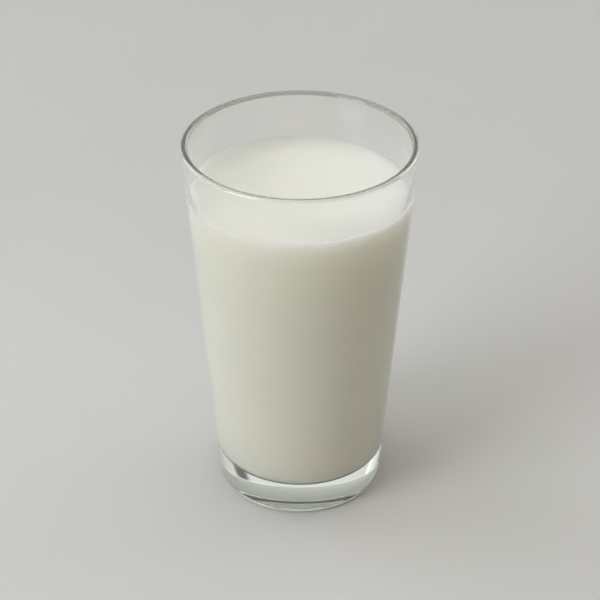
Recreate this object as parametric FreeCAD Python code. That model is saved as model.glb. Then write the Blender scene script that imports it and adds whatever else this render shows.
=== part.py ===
# A tapered drinking glass with a thick clear base, filled with milk.
#
# Millimetres, +Z up. The origin is the middle of the foot, on the table, and the
# glass's axis is +Z. Both pieces are turned: an outline of (radius, height) points
# is drawn in the XZ plane and revolved about the axis.
import FreeCAD, Part
import math
import os

# ---- the glass ----
HEIGHT = 149.0  # table to the top of the lip
RIM_DIA = 88.0  # outside, at the widest part of the lip
FOOT_DIA = 65.0  # where the straight side would meet the table
LIP = 2.9  # thickness of the fire-polished lip, which is a half round
LIP_BLEND_R = 100.0  # long hollow that eases the lip's inside into the thinner wall
WALL_TOP = 2.1  # horizontal thickness of the side, at the rim
WALL_LOW = 2.6  # and at the floor
FLOOR = 13.3  # clear glass under the milk
CORNER_R = 4.0  # inside, between the floor and the side
HEEL_R = 2.5  # outside, between the side and the foot
FOOT_RING = 3.0  # width of the flat ring that the glass stands on
RING_EDGE_R = 1.5  # rounding of that ring's inner edge
PUNT = 0.8  # how far the hollow underside rises at the middle

# ---- the milk ----
HEADSPACE = 20.6  # rim's top down to the flat of the milk
MENISCUS = 2.0  # how far the milk climbs where it wets the glass
MENISCUS_SLOPE = math.radians(55.0)  # steepness of the milk at the glass

LIP_R = LIP / 2
LIP_CENTRE = (RIM_DIA / 2 - LIP_R, HEIGHT - LIP_R)
LEVEL = HEIGHT - HEADSPACE
CONTACT = LEVEL + MENISCUS


def outer_taper():
    """Angle from upright of the straight side, which runs from the foot and just touches the lip's round."""
    across = LIP_CENTRE[0] - FOOT_DIA / 2
    up = LIP_CENTRE[1]
    return math.atan2(across, up) + math.asin(LIP_R / math.hypot(across, up))


OUTER_TAPER = outer_taper()


def outer_radius(z):
    """The straight side's outside at height z."""
    return FOOT_DIA / 2 + z * math.tan(OUTER_TAPER)


INNER_TOP = outer_radius(HEIGHT) - WALL_TOP
INNER_LOW = outer_radius(FLOOR) - WALL_LOW
INNER_TAPER = math.atan2(INNER_TOP - INNER_LOW, HEIGHT - FLOOR)


def inner_radius(z):
    """The side's inside at height z, below the lip."""
    return INNER_LOW + (z - FLOOR) * math.tan(INNER_TAPER)


def on_circle(centre, radius, angle):
    """The point at that angle, which is 0 outwards and a quarter turn straight up."""
    return (centre[0] + radius * math.cos(angle), centre[1] + radius * math.sin(angle))


def at(point):
    """An outline's (radius, height) point, in the XZ plane."""
    return FreeCAD.Vector(point[0], 0, point[1])


def line(start, end):
    return Part.LineSegment(at(start), at(end)).toShape()


def arc(centre, radius, start, end):
    """A round stretch of an outline, from one angle to the other."""
    turn = [on_circle(centre, radius, a) for a in (start, (start + end) / 2, end)]
    return Part.Arc(*map(at, turn)).toShape()


def join(*parts):
    """The outline's stretches in order, with a straight edge wherever two don't meet."""
    edges = []
    for part in parts:
        if edges:
            last = edges[-1].lastVertex(True).Point
            first = part.firstVertex(True).Point
            if last.distanceToPoint(first) > 1e-6:
                edges.append(Part.LineSegment(last, first).toShape())
        edges.append(part)
    last = edges[-1].lastVertex(True).Point
    first = edges[0].firstVertex(True).Point
    edges.append(Part.LineSegment(last, first).toShape())
    return Part.Wire(edges)


def turned(outline):
    return Part.Face(outline).revolve(at((0, 0)), FreeCAD.Vector(0, 0, 1), 360)


def inner_corner():
    """The cavity's rounded lower corner, from the floor up to the side."""
    height = FLOOR + CORNER_R
    centre = (inner_radius(height) - CORNER_R / math.cos(INNER_TAPER), height)
    return arc(centre, CORNER_R, -math.pi / 2, -INNER_TAPER)


def underside():
    """The foot from the axis out: a shallow dome, then the ring's rounded inner edge, tangent to both."""
    heel_centre = outer_radius(HEEL_R) - HEEL_R / math.cos(OUTER_TAPER)
    ring_inner = heel_centre - FOOT_RING
    slope = 2 * math.atan(PUNT / ring_inner)
    dome_r = ring_inner / math.sin(slope) - RING_EDGE_R
    upright = math.pi / 2
    dome = arc((0, PUNT - dome_r), dome_r, upright, upright - slope)
    edge = arc((ring_inner, RING_EDGE_R), RING_EDGE_R, -upright - slope, -upright)
    heel = arc((heel_centre, HEEL_R), HEEL_R, -upright, -OUTER_TAPER)
    return dome, edge, heel


def lip():
    """The lip's round, from the outside over the top, and the hollow that eases it into the wall's inside."""
    # Measured square to the wall, the wall's inside lies this far in from the lip's centre.
    inside = (LIP_CENTRE[0] - inner_radius(LIP_CENTRE[1])) * math.cos(INNER_TAPER)
    down = math.sqrt((LIP_BLEND_R + LIP_R) ** 2 - (LIP_BLEND_R + inside) ** 2)
    across = LIP_BLEND_R + inside
    blend_centre = (
        LIP_CENTRE[0] - across * math.cos(INNER_TAPER) - down * math.sin(INNER_TAPER),
        LIP_CENTRE[1] + across * math.sin(INNER_TAPER) - down * math.cos(INNER_TAPER),
    )
    meet = math.atan2(blend_centre[1] - LIP_CENTRE[1], blend_centre[0] - LIP_CENTRE[0]) % (2 * math.pi)
    over = arc(LIP_CENTRE, LIP_R, -OUTER_TAPER, meet)
    ease = arc(blend_centre, LIP_BLEND_R, meet - math.pi, -INNER_TAPER)
    return over, ease


def reversed_arc(edge):
    """The same round stretch, run the other way."""
    ends = edge.ParameterRange
    turn = [edge.valueAt(p) for p in (ends[1], sum(ends) / 2, ends[0])]
    return Part.Arc(*turn).toShape()


def make_tumbler():
    corner = reversed_arc(inner_corner())
    floor = line(corner.lastVertex(True).Point[::2], (0, FLOOR))
    return turned(join(*underside(), *lip(), corner, floor))


def make_milk():
    """Fills the cavity to its level, and curves up to the glass all round."""
    radius = MENISCUS / (1 - math.cos(MENISCUS_SLOPE))
    centre = (inner_radius(CONTACT) - radius * math.sin(MENISCUS_SLOPE), LEVEL + radius)
    climb = arc(centre, radius, MENISCUS_SLOPE - math.pi / 2, -math.pi / 2)
    bottom = line((0, FLOOR), inner_corner().firstVertex(True).Point[::2])
    top = line(climb.lastVertex(True).Point[::2], (0, LEVEL))
    return turned(join(bottom, inner_corner(), climb, top))


def main():
    os.makedirs("parts", exist_ok=True)
    for node, make in {"tumbler": make_tumbler, "milk": make_milk}.items():
        solid = make()
        solid.exportStep(f"parts/{node}.step")
        print(f"{node}: {solid.ShapeType}, valid {solid.isValid()}, {solid.Volume / 1000:.1f} ml")


main()
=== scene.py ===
# A glass of milk: a conical tumbler of clear glass with a thick base and a round,
# fire-polished lip, and the milk in it, which wets the glass and climbs it a little.
# Metres, +Z up, with the middle of the foot at the origin. Both pieces are turned
# about Z, and their sizes come from the frame.
import bmesh
import bpy
import math
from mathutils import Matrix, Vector


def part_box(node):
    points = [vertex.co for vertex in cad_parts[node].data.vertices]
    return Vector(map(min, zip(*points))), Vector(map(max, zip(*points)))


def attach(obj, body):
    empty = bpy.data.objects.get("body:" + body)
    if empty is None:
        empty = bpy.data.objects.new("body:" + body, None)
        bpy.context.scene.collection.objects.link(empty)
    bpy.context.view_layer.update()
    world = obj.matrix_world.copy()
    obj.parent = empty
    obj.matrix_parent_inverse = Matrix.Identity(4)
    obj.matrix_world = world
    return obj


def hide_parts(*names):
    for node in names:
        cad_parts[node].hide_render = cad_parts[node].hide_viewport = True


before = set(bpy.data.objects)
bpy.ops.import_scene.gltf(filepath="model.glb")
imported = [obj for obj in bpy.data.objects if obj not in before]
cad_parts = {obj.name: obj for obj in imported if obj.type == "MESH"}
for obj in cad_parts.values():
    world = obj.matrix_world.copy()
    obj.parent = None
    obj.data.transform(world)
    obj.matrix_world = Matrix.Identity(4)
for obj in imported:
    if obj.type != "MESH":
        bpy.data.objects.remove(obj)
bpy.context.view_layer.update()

MM = 0.001

# ---- the glass: what its box doesn't say ----
FOOT_R = 32.5 * MM  # where the straight side would meet the table
LIP_R = 1.45 * MM  # the lip is a half round
LIP_BLEND_R = 100 * MM  # long hollow that eases the lip into the thinner wall
WALL_LOW = 2.6 * MM  # horizontal thickness of the side, at the floor
CORNER_R = 4 * MM  # inside, between the floor and the side
HEEL_R = 2.5 * MM  # outside, between the side and the foot
FOOT_RING = 3 * MM  # width of the flat ring that the glass stands on
RING_EDGE_R = 1.5 * MM
PUNT = 0.8 * MM  # rise of the hollow underside

# The inside of the wall wanders from a true cone, as the hot glass flowed.
RIPPLE = 0.035 * MM
RIPPLE_WAVES = (  # share, waves round the glass, turn from foot to rim, turn at the foot
    (0.45, 3, 9, 0.6),
    (0.30, 7, -15, 2.1),
    (0.25, 12, 26, 4.0),
)
RIPPLE_BELOW_RIM = 6 * MM  # nearer the rim than this, the wall is true
RIPPLE_FADES_UP = 8 * MM  # and below that, the ripple comes in over this height
RIPPLE_FADES_DOWN = 10 * MM  # as it does over this height above the rounded corner
NEAR_INSIDE = 0.3 * MM  # a point this near the inner cone belongs to the inside

# ---- the milk ----
CLIMB = 2.0 * MM  # how far the milk climbs the glass
CAPILLARY = 2.16 * MM  # capillary length of milk
LEVEL_AT = 0.04 * MM  # the climb is taken as level where it is this low
INTO_WALL = 0.15 * MM  # how far the milk reaches into the glass, so that no air shows

# ---- surfaces ----
CLEAR = (1, 1, 1, 1)
LIP_PAINTED_SHADE = (0.33, 0.35, 0.31, 1)  # painted shade: darkens the lip's round, which looks dark from what it refracts
LIP_SHADE_HEIGHTS = (1.1, 0.6)  # it comes in between these, in lip radii below the top
LIP_SHADE_DEPTHS = (0.5, 0.8)  # and between these, in lip radii in from the rim
IRON_TINT = (0.80, 0.90, 0.84, 1)  # what thick glass lets through
IRON_DENSITY = 9.0
GLASS_IOR = 1.52
GLASS_HAZE = 0.012  # roughness where the glass is haziest
GLASS_FLOW = 0.02  # strength of the slow waves in its surface
MILK_IOR = 1.35
# Shades are the noise's values and the colour at each.
MILK_SHADES = ((0.3, (0.80, 0.81, 0.745)), (0.7, (0.83, 0.835, 0.775)))
MILK_GLOSS = 0.99  # how far the open surface is from matt
MILK_SHEEN = 0.04  # how much its roughness varies
MILK_SWELL = 0.01  # strength of the slow waves in it
MILK_DEPTHS = (1.0, 0.88, 0.78)  # how deep red, green and blue light go into it, as shares
MILK_DEPTH = 20 * MM
MILK_OPEN = (0.2, 0.4)  # between these, upward-facing milk goes from side to open surface
PAINT_SHADES = ((0.3, (0.505, 0.505, 0.50)), (0.7, (0.52, 0.52, 0.515)))
PAINT_ROUGHNESS = 0.9
BUMP_HEIGHT = 1 * MM
FLOW_NOISE = (60, 2)  # scale and detail of each noise
HAZE_NOISE = (900, 3)
CREAM_NOISE = (45, 4)
SHEEN_NOISE = (120, 2)
GRAIN_NOISE = (6, 3)

# ---- how finely the meshes are drawn ----
TURNS = 288  # steps that a turned piece has round its axis
STEPS = {  # steps in each stretch of an outline
    "dome": 24,
    "ring edge": 6,
    "ring": 4,
    "heel": 16,
    "outside": 60,
    "lip": 40,
    "ease": 12,
    "inside": 56,
    "corner": 14,
    "floor": 10,
    "milk side": 48,
    "climb": 28,
    "level": 16,
}

# ---- the studio ----
FLOOR_SIZE = 8.0
CAMERA_DISTANCE = 0.660
CAMERA_TILT = math.radians(33.0)
CAMERA_AIM = 80 * MM
CAMERA_LENS = 102.1

KEY_AZIMUTH = math.radians(-145)
KEY_TILT = math.radians(26)
KEY_DISTANCE = 1.2
KEY_SIZE = (0.6, 0.6)
KEY_POWER = 7.4
KEY_COLOUR = (1.0, 1.0, 1.0)
BACKDROP = (0.5, 0.5, 0.495, 1)  # the plain room beyond the table

# Soft panels round the glass: azimuth of the middle, where 0 is +X and 90 is +Y, and half
# the width, lowest and highest edge, all in degrees, and then the light.
PANEL_EDGE = 3
PANELS = {
    "left low": (180, 45, -3, 30, (1.85, 2.0, 1.95)),
    "right back low": (45, 30, -3, 30, (2.3, 2.15, 1.85)),
    "back low": (105, 30, -3, 30, (0.95, 0.95, 0.9)),
    "back high": (101, 46, 30, 50, (0.72, 0.69, 0.67)),
    "back left high": (162, 18, 30, 50, (1.1, 1.06, 1.03)),
    "front fill": (-90, 35, -3, 30, (1.25, 0.95, 0.55)),
    "right high": (8, 33, 30, 50, (0.7, 0.65, 0.62)),
    "right steep": (0, 45, 50, 70, (0.75, 0.72, 0.72)),
    "left high": (180, 45, 50, 70, (1.85, 1.75, 1.95)),
    "overhead": (0, 180, 70, 90, (1.03, 1.14, 1.13)),
}
ROOM = (0.12, 0.125, 0.115)  # light from everywhere else
NEAR_NOTHING = 0.0001  # keeps straight up from being a division by nothing
BOUNCES = {
    "max_bounces": 24,
    "transmission_bounces": 20,
    "glossy_bounces": 12,
    "diffuse_bounces": 8,
}
BRIGHTEST_BOUNCE = 6  # stronger bounced light is cut to this, against bright specks

glass_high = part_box("tumbler")[1]
milk_low, milk_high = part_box("milk")
HEIGHT = glass_high[2]
RIM_R = glass_high[0]
FLOOR = milk_low[2]
CONTACT = milk_high[2]
CONTACT_R = milk_high[0]
LEVEL = CONTACT - CLIMB


# ---- outlines: lists of (radius, height) points ----
LIP_CENTRE = (RIM_R - LIP_R, HEIGHT - LIP_R)


def outer_taper():
    """Angle from upright of the straight side, which just touches the lip's round."""
    across = LIP_CENTRE[0] - FOOT_R
    up = LIP_CENTRE[1]
    return math.atan2(across, up) + math.asin(LIP_R / math.hypot(across, up))


OUTER_TAPER = outer_taper()


def outer_radius(z):
    return FOOT_R + z * math.tan(OUTER_TAPER)


INNER_LOW = outer_radius(FLOOR) - WALL_LOW
INNER_TAPER = math.atan2(CONTACT_R - INNER_LOW, CONTACT - FLOOR)


def inner_radius(z):
    return INNER_LOW + (z - FLOOR) * math.tan(INNER_TAPER)


def arc(centre, radius, start, end, stretch):
    """Points round a circle, where angle 0 is outwards and a quarter turn is straight up."""
    steps = STEPS[stretch]
    angles = [start + (end - start) * i / steps for i in range(steps + 1)]
    return [(centre[0] + radius * math.cos(a), centre[1] + radius * math.sin(a)) for a in angles]


def straight(start, end, stretch):
    """Points between two others, without those two."""
    steps = STEPS[stretch]
    return [
        tuple(a + (b - a) * i / steps for a, b in zip(start, end))
        for i in range(1, steps)
    ]


def underside():
    """From the axis out: a shallow dome, the ring's rounded inner edge, the ring and the heel."""
    heel_centre = outer_radius(HEEL_R) - HEEL_R / math.cos(OUTER_TAPER)
    ring_inner = heel_centre - FOOT_RING
    slope = 2 * math.atan(PUNT / ring_inner)
    dome_r = ring_inner / math.sin(slope) - RING_EDGE_R
    up = math.pi / 2
    dome = arc((0, PUNT - dome_r), dome_r, up, up - slope, "dome")
    edge = arc((ring_inner, RING_EDGE_R), RING_EDGE_R, -up - slope, -up, "ring edge")
    ring = straight((ring_inner, 0), (heel_centre, 0), "ring")
    heel = arc((heel_centre, HEEL_R), HEEL_R, -up, -OUTER_TAPER, "heel")
    return dome + edge[1:] + ring + heel


def lip():
    """The lip's round, and the hollow that eases it into the wall's inside."""
    inside = (LIP_CENTRE[0] - inner_radius(LIP_CENTRE[1])) * math.cos(INNER_TAPER)
    across = LIP_BLEND_R + inside
    down = math.sqrt((LIP_BLEND_R + LIP_R) ** 2 - across**2)
    blend_centre = (
        LIP_CENTRE[0] - across * math.cos(INNER_TAPER) - down * math.sin(INNER_TAPER),
        LIP_CENTRE[1] + across * math.sin(INNER_TAPER) - down * math.cos(INNER_TAPER),
    )
    aside = blend_centre[0] - LIP_CENTRE[0]
    above = blend_centre[1] - LIP_CENTRE[1]
    meet = math.atan2(above, aside) % (2 * math.pi)
    over = arc(LIP_CENTRE, LIP_R, -OUTER_TAPER, meet, "lip")
    ease = arc(blend_centre, LIP_BLEND_R, meet - math.pi, -INNER_TAPER, "ease")
    return over + ease[1:]


def inner_corner(beyond=0.0):
    """The cavity's rounded lower corner, from the floor up to the side."""
    height = FLOOR + CORNER_R
    centre = (inner_radius(height) - CORNER_R / math.cos(INNER_TAPER), height)
    return arc(centre, CORNER_R + beyond, -math.pi / 2, -INNER_TAPER, "corner")


def glass_outline():
    foot = underside()
    top = lip()
    corner = inner_corner()[::-1]
    outside = straight(foot[-1], top[0], "outside")
    inside = straight(top[-1], corner[0], "inside")
    floor = straight(corner[-1], (0, FLOOR), "floor")
    return foot + outside + top + inside + corner + floor + [(0, FLOOR)]


def climb():
    """The milk's surface from the glass inwards, by the Young-Laplace curve beside a wall."""

    def from_wall(rise):
        bend = 2 * CAPILLARY
        return (
            CAPILLARY * (math.acosh(bend / rise) - math.acosh(bend / CLIMB))
            - math.sqrt(bend**2 - rise**2)
            + math.sqrt(bend**2 - CLIMB**2)
        )

    steps = STEPS["climb"]
    rises = [CLIMB * (LEVEL_AT / CLIMB) ** (i / steps) for i in range(steps + 1)]
    wall = inner_radius(CONTACT)
    return [(wall - from_wall(rise), LEVEL + rise) for rise in rises]


def milk_outline():
    corner = inner_corner(INTO_WALL)
    shift = INTO_WALL / math.cos(INNER_TAPER)
    brink = (inner_radius(CONTACT) + shift, CONTACT)
    side = straight(corner[-1], brink, "milk side")
    surface = climb()
    level = straight(surface[-1], (0, LEVEL), "level")
    bottom = (0, FLOOR - INTO_WALL)
    floor = straight(bottom, corner[0], "floor")
    return [bottom] + floor + corner + side + [brink] + surface + level + [(0, LEVEL)]


# ---- meshes ----
def turned(name, outline, wander=None):
    """Turns an outline about Z. Its first and last points are on the axis.

    wander tells how far each point moves outwards.
    """
    mesh = bmesh.new()
    rings = []
    for radius, height in outline[1:-1]:
        ring = []
        for step in range(TURNS):
            angle = 2 * math.pi * step / TURNS
            r = radius + (wander(radius, angle, height) if wander else 0)
            ring.append(mesh.verts.new((r * math.cos(angle), r * math.sin(angle), height)))
        rings.append(ring)
    first = mesh.verts.new((0, 0, outline[0][1]))
    last = mesh.verts.new((0, 0, outline[-1][1]))
    for step in range(TURNS):
        after = (step + 1) % TURNS
        mesh.faces.new((first, rings[0][after], rings[0][step]))
        mesh.faces.new((last, rings[-1][step], rings[-1][after]))
        for low, high in zip(rings, rings[1:]):
            mesh.faces.new((low[step], low[after], high[after], high[step]))
    for face in mesh.faces:
        face.smooth = True
    data = bpy.data.meshes.new(name)
    mesh.to_mesh(data)
    mesh.free()
    piece = bpy.data.objects.new(name, data)
    bpy.context.collection.objects.link(piece)
    return piece


def fade(x):
    """0 below 0, 1 above 1, and smooth between."""
    x = min(max(x, 0.0), 1.0)
    return x * x * (3 - 2 * x)


def wall_ripple(radius, angle, height):
    """How far the wall wanders at a point, which is 0 on its outside."""
    above_corner = height - FLOOR - CORNER_R
    below_rim = HEIGHT - RIPPLE_BELOW_RIM - height
    if radius > inner_radius(height) + NEAR_INSIDE or above_corner < 0:
        return 0.0
    keep = fade(below_rim / RIPPLE_FADES_UP) * fade(above_corner / RIPPLE_FADES_DOWN)
    along = height / HEIGHT
    wave = sum(
        share * math.sin(round_it * angle + turn * along + start)
        for share, round_it, turn, start in RIPPLE_WAVES
    )
    return RIPPLE * keep * wave


# ---- shaders ----
MIXED_COLOUR = 2  # a Mix node's output for colours


class Wire:
    """A socket of a node tree. Arithmetic on it adds Math nodes."""

    def __init__(self, graph, socket):
        self.graph = graph
        self.socket = socket

    def maths(self, operation, *values):
        inputs = dict(enumerate((self, *values)))
        return self.graph.node("ShaderNodeMath", {"operation": operation}, inputs)

    def __add__(self, other):
        return self.maths("ADD", other)

    __radd__ = __add__

    def __sub__(self, other):
        return self.maths("SUBTRACT", other)

    def __rsub__(self, other):
        return self.maths("MULTIPLY", -1).maths("ADD", other)

    def __mul__(self, other):
        return self.maths("MULTIPLY", other)

    __rmul__ = __mul__

    def __truediv__(self, other):
        return self.maths("DIVIDE", other)


class Graph:
    """The node tree of a material or of the world, emptied."""

    def __init__(self, owner):
        owner.use_nodes = True
        self.tree = owner.node_tree
        self.tree.nodes.clear()

    def node(self, kind, settings=(), inputs=(), output=0):
        """A new node of that type, as a wire from one output.

        Its settings are set first, and then its sockets, to a value or a wire each.
        """
        node = self.tree.nodes.new(kind)
        for name, value in dict(settings).items():
            if name == "stops":
                ramp = node.color_ramp.elements
                while len(ramp) < len(value):
                    ramp.new(0.5)
                for stop, (place, colour) in zip(ramp, value):
                    stop.position = place
                    stop.color = (*colour, 1)
            else:
                setattr(node, name, value)
        for name, value in dict(inputs).items():
            if isinstance(value, Wire):
                self.tree.links.new(value.socket, node.inputs[name])
            else:
                node.inputs[name].default_value = value
        return Wire(self, node.outputs[output]) if node.outputs else None

    def split(self, vector):
        """The three numbers of a vector."""
        return [self.node("ShaderNodeSeparateXYZ", {}, {"Vector": vector}, axis) for axis in range(3)]

    def ramp(self, value, start, end):
        """0 where value is at start, 1 where it's at end, and smooth between."""
        smooth = {"interpolation_type": "SMOOTHSTEP"}
        inputs = {"Value": value, "From Min": start, "From Max": end}
        return self.node("ShaderNodeMapRange", smooth, inputs)

    def between(self, value, start, end, curve):
        """A ramp from one angle to another, in degrees, where value is an angle's sine or cosine."""
        return self.ramp(value, curve(math.radians(start)), curve(math.radians(end)))

    def noise(self, place, scale, detail):
        """Soft noise, from 0 to 1."""
        return self.node("ShaderNodeTexNoise", {}, {"Vector": place, "Scale": scale, "Detail": detail})

    def bump(self, height, strength):
        """The surface's direction where it stands up by that height."""
        inputs = {"Height": height, "Strength": strength, "Distance": BUMP_HEIGHT}
        return self.node("ShaderNodeBump", {}, inputs)


def clear_glass():
    """Soda-lime glass: clear, with the faint grey-green of iron where it's thick."""
    material = bpy.data.materials.new("clear_glass")
    graph = Graph(material)
    place = graph.node("ShaderNodeTexCoord", output="Object")
    flow = graph.bump(graph.noise(place, *FLOW_NOISE), GLASS_FLOW)
    haze = graph.noise(place, *HAZE_NOISE)
    across, along, up = graph.split(place)
    radius = (across * across + along * along).maths("SQRT")
    # Painted shade: the upper, inner part of the lip's round is darkened through Base Color.
    high = graph.ramp(up, *(HEIGHT - share * LIP_R for share in LIP_SHADE_HEIGHTS))
    inside = graph.ramp(radius, *(RIM_R - share * LIP_R for share in LIP_SHADE_DEPTHS))
    lip_shade_inputs = {"Factor": high * inside, "A": CLEAR, "B": LIP_PAINTED_SHADE}
    lip_shade_colour = graph.node("ShaderNodeMix", {"data_type": "RGBA"}, lip_shade_inputs, MIXED_COLOUR)
    shader = graph.node(
        "ShaderNodeBsdfPrincipled",
        {},
        {
            "Base Color": lip_shade_colour,
            "Roughness": haze * GLASS_HAZE,
            "IOR": GLASS_IOR,
            "Transmission Weight": 1.0,
            "Normal": flow,
        },
    )
    iron = graph.node("ShaderNodeVolumeAbsorption", {}, {"Color": IRON_TINT, "Density": IRON_DENSITY})
    graph.node("ShaderNodeOutputMaterial", {}, {"Surface": shader, "Volume": iron})
    return material


def milk():
    """Whole milk: white, faintly cream, and a little translucent."""
    material = bpy.data.materials.new("milk")
    graph = Graph(material)
    place = graph.node("ShaderNodeTexCoord", output="Object")
    cream = graph.noise(place, *CREAM_NOISE)
    colour = graph.node("ShaderNodeValToRGB", {"stops": MILK_SHADES}, {"Fac": cream})
    facing_up = graph.split(graph.node("ShaderNodeNewGeometry", output="Normal"))[2]
    top = graph.ramp(facing_up, *MILK_OPEN)
    sheen = graph.noise(place, *SHEEN_NOISE)
    body = graph.node(
        "ShaderNodeBsdfPrincipled",
        {"subsurface_method": "RANDOM_WALK"},
        {
            "Base Color": colour,
            "Roughness": 1 - top * (MILK_GLOSS - MILK_SHEEN * sheen),
            "IOR": MILK_IOR,
            "Subsurface Weight": 1.0,
            "Subsurface Radius": MILK_DEPTHS,
            "Subsurface Scale": MILK_DEPTH,
            "Normal": graph.bump(sheen, MILK_SWELL),
        },
    )
    # Light inside the glass that meets the milk at a low angle is wholly thrown back.
    inward = graph.node("ShaderNodeFresnel", {}, {"IOR": MILK_IOR / GLASS_IOR})
    mirror = graph.node("ShaderNodeBsdfGlossy", {}, {"Color": CLEAR, "Roughness": 0.0})
    surface = graph.node("ShaderNodeMixShader", {}, {0: inward * (1 - top), 1: body, 2: mirror})
    graph.node("ShaderNodeOutputMaterial", {}, {"Surface": surface})
    return material


def table_paint():
    """Matt pale grey paint on the table."""
    material = bpy.data.materials.new("table_paint")
    graph = Graph(material)
    place = graph.node("ShaderNodeTexCoord", output="Object")
    grain = graph.noise(place, *GRAIN_NOISE)
    colour = graph.node("ShaderNodeValToRGB", {"stops": PAINT_SHADES}, {"Fac": grain})
    paint = {"Base Color": colour, "Roughness": PAINT_ROUGHNESS}
    shader = graph.node("ShaderNodeBsdfPrincipled", {}, paint)
    graph.node("ShaderNodeOutputMaterial", {}, {"Surface": shader})
    return material


# ---- the object ----
def make_tumbler():
    piece = turned("tumbler_glass", glass_outline(), wall_ripple)
    piece.data.materials.append(clear_glass())
    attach(piece, "root")
    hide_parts("tumbler")


def make_milk():
    piece = turned("milk_fill", milk_outline())
    piece.data.materials.append(milk())
    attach(piece, "root")
    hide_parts("milk")


# ---- the studio ----
def make_floor():
    """A plain table, wide enough to fill every view."""
    half = FLOOR_SIZE / 2
    data = bpy.data.meshes.new("table")
    corners = [(-half, -half, 0), (half, -half, 0), (half, half, 0), (-half, half, 0)]
    data.from_pydata(corners, [], [(0, 1, 2, 3)])
    table = bpy.data.objects.new("table", data)
    bpy.context.collection.objects.link(table)
    data.materials.append(table_paint())


def make_key():
    """The main light, a softbox to the left of the camera."""
    data = bpy.data.lights.new("key", "AREA")
    data.shape = "RECTANGLE"
    data.size, data.size_y = KEY_SIZE
    data.energy = KEY_POWER
    data.color = KEY_COLOUR
    light = bpy.data.objects.new("key", data)
    level = math.cos(KEY_TILT)
    across = math.cos(KEY_AZIMUTH) * level
    along = math.sin(KEY_AZIMUTH) * level
    away = Vector((across, along, math.sin(KEY_TILT)))
    light.location = away * KEY_DISTANCE + Vector((0, 0, HEIGHT / 2))
    light.rotation_euler = (-away).to_track_quat("-Z", "Y").to_euler()
    light.visible_camera = False
    bpy.context.collection.objects.link(light)


def make_world(panels, room):
    """Soft panels so far off that they light the whole table alike.

    The camera sees a plain backdrop instead.
    """
    world = bpy.data.worlds.new("studio")
    bpy.context.scene.world = world
    graph = Graph(world)
    way = graph.node("ShaderNodeTexCoord", output="Generated")
    across, along, rise = graph.split(way)
    level = (across * across + along * along).maths("SQRT")
    light = room
    for azimuth, half_width, low, high, colour in panels.values():
        turn = math.radians(azimuth)
        beside = (across * math.cos(turn) + along * math.sin(turn)) / (level + NEAR_NOTHING)
        mask = graph.between(rise, low - PANEL_EDGE, low + PANEL_EDGE, math.sin)
        if high < 90:
            mask = mask * (1 - graph.between(rise, high - PANEL_EDGE, high + PANEL_EDGE, math.sin))
        if half_width < 180:
            outer = half_width + PANEL_EDGE
            inner = half_width - PANEL_EDGE
            mask = mask * graph.between(beside, outer, inner, math.cos)
        panel = graph.node("ShaderNodeVectorMath", {"operation": "SCALE"}, {0: colour, "Scale": mask})
        light = graph.node("ShaderNodeVectorMath", {"operation": "ADD"}, {0: light, 1: panel})
    seen = graph.node("ShaderNodeLightPath", output="Is Camera Ray")
    studio = graph.node("ShaderNodeBackground", {}, {"Color": light})
    backdrop = graph.node("ShaderNodeBackground", {}, {"Color": BACKDROP})
    both = graph.node("ShaderNodeMixShader", {}, {0: seen, 1: studio, 2: backdrop})
    graph.node("ShaderNodeOutputWorld", {}, {"Surface": both})


def make_camera():
    """Looks down at the glass from the front, which is -Y."""
    data = bpy.data.cameras.new("camera")
    data.lens = CAMERA_LENS
    data.sensor_width = 36.0
    camera = bpy.data.objects.new("camera", data)
    camera.location = (
        0,
        -CAMERA_DISTANCE * math.cos(CAMERA_TILT),
        CAMERA_AIM + CAMERA_DISTANCE * math.sin(CAMERA_TILT),
    )
    camera.rotation_euler = (math.pi / 2 - CAMERA_TILT, 0, 0)
    bpy.context.collection.objects.link(camera)
    bpy.context.scene.camera = camera


def set_colours():
    """Plain colours, and enough bounces for light to find its way through the glass."""
    scene = bpy.context.scene
    scene.view_settings.view_transform = "Standard"
    for name, most in BOUNCES.items():
        setattr(scene.cycles, name, most)
    scene.cycles.sample_clamp_indirect = BRIGHTEST_BOUNCE


make_tumbler()
make_milk()
make_floor()
make_key()
make_world(PANELS, ROOM)
make_camera()
set_colours()
